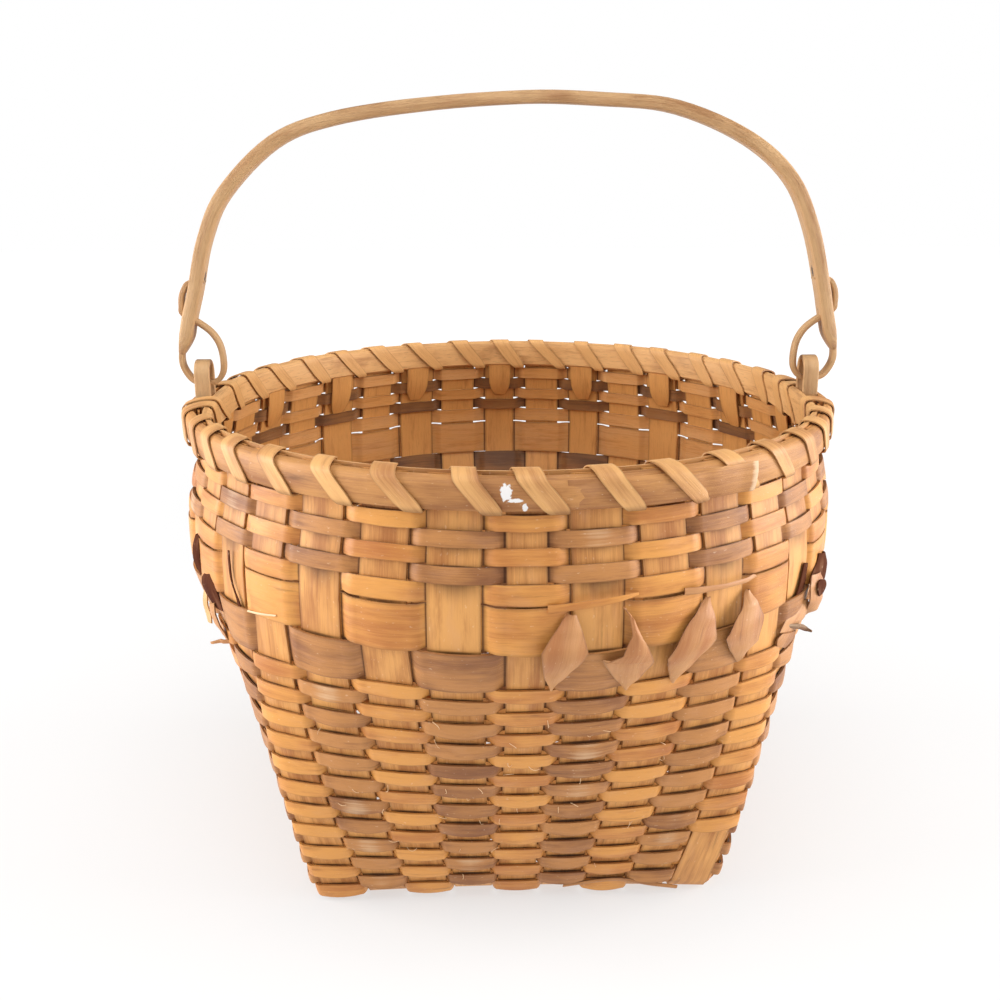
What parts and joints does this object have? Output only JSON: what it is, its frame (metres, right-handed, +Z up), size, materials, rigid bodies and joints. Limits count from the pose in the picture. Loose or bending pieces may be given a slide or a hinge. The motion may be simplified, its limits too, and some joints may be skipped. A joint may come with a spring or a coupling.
{
  "type": "splint basket",
  "caption": "Woven splint basket with a square base, a round lashed rim and a bentwood handle that swings in two ears.",
  "frame": {"origin": "middle of the base, on the surface that the basket stands on", "axes": "+Z up, +X to the right along the hinge axis of the handle, front of the basket towards -Y"},
  "size_m": [0.3074, 0.3027, 0.3469],
  "materials": {
    "upright": "honey-brown split ash, worn smooth, satin, with fine lengthwise grain",
    "light_row": "honey-coloured split ash, satin, with fine lengthwise grain",
    "dark_row": "brown-stained split ash, worn and partly faded to pinkish brown",
    "hoop": "tan-brown hoop wood with straight grain, rubbed dull",
    "lashing": "pale thin splint, satin",
    "ear": "light bentwood strap, satin",
    "handle": "shaved hardwood, polished by hands, with lengthwise grain"
  },
  "bodies": {
    "basket": {"lengthwise_splint_1": "upright", "lengthwise_splint_2": "upright", "lengthwise_splint_3": "upright", "lengthwise_splint_4": "upright", "lengthwise_splint_5": "upright", "lengthwise_splint_6": "upright", "lengthwise_splint_7": "upright", "lengthwise_splint_8": "upright", "lengthwise_splint_9": "upright", "crosswise_splint_1": "upright", "crosswise_splint_2": "upright", "crosswise_splint_3": "upright", "crosswise_splint_4": "upright", "crosswise_splint_5": "upright", "crosswise_splint_6": "upright", "crosswise_splint_7": "upright", "crosswise_splint_8": "upright", "crosswise_splint_9": "upright", "lower_row_01": "light_row", "lower_row_02": "dark_row", "lower_row_03": "light_row", "lower_row_04": "dark_row", "lower_row_05": "light_row", "lower_row_06": "dark_row", "lower_row_07": "light_row", "lower_row_08": "dark_row", "lower_row_09": "light_row", "lower_row_10": "dark_row", "lower_row_11": "light_row", "lower_row_12": "dark_row", "lower_row_13": "light_row", "lower_row_14": "dark_row", "lower_row_15": "light_row", "lower_row_16": "dark_row", "lower_row_17": "light_row", "lower_row_18": "dark_row", "lower_row_19": "light_row", "lower_row_20": "dark_row", "lower_row_21": "light_row", "wide_band_dark": "dark_row", "wide_band_light": "light_row", "upper_row_1": "light_row", "upper_row_2": "dark_row", "upper_row_3": "light_row", "upper_row_4": "dark_row", "upper_row_5": "light_row", "twist_1": "light_row", "twist_2": "light_row", "twist_3": "light_row", "twist_4": "light_row", "outer_hoop": "hoop", "inner_hoop": "hoop", "rim_lashing": "lashing", "ear_left": "ear", "ear_right": "ear"},
    "handle": {"handle": "handle"}
  },
  "joints": [
    {"name": "handle_swing", "type": "hinge", "parent": "basket", "child": "handle", "pos_m": [0, 0, 0.21813], "axis": [1, 0, 0], "range_deg": [-84, 84]}
  ]
}
